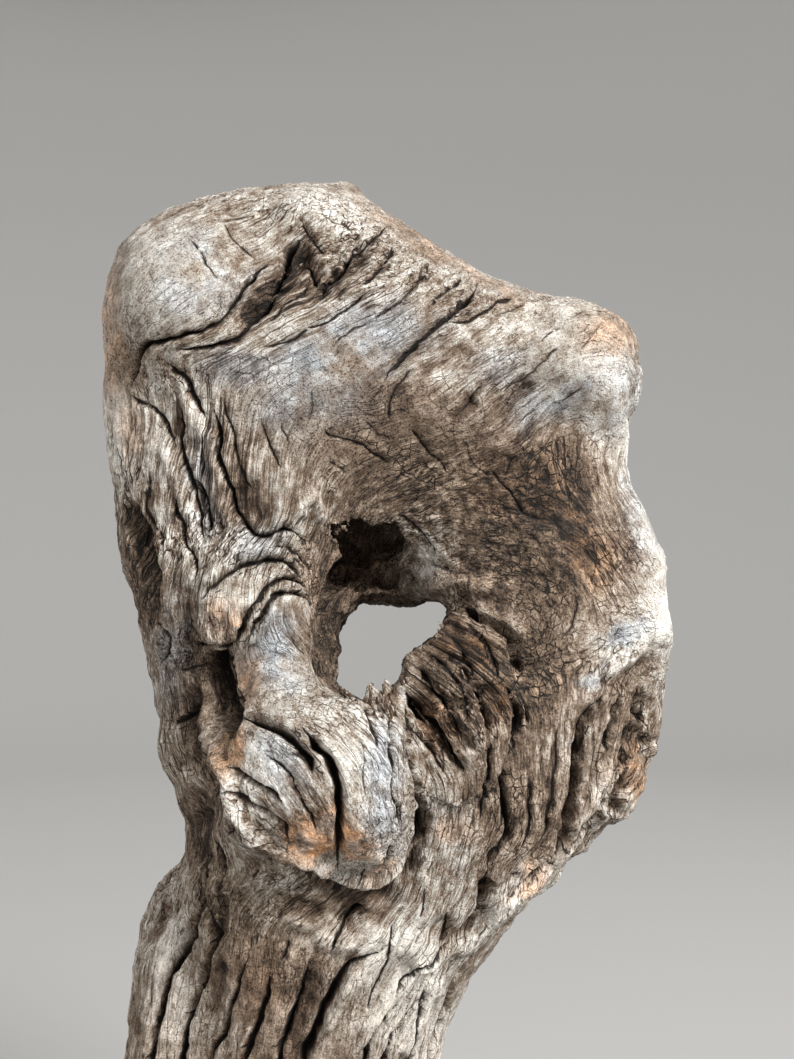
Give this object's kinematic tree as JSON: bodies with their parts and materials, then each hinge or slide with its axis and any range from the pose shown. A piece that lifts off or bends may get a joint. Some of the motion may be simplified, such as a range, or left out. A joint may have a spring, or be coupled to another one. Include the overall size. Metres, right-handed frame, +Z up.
{
  "type": "piece of driftwood",
  "caption": "Weathered grey driftwood that stands on a sawn foot: a furrowed trunk that widens into a broad, knotted head with a hole worn through it.",
  "frame": {"origin": "centre of the bounding box on the plane of the sawn foot, where the wood rests", "axes": "+Z up the trunk, -Y out of the front, which holds the dish and the knob, +X to the right seen from the front"},
  "size_m": [0.2132, 0.1296, 0.4527],
  "materials": {
    "weathered_wood": "bare wood, weathered silver grey on the high places and brown in the hollows, dry and matt, with deep cracks and furrows along the grain"
  },
  "bodies": {
    "root": {"driftwood": "weathered_wood"}
  },
  "joints": []
}
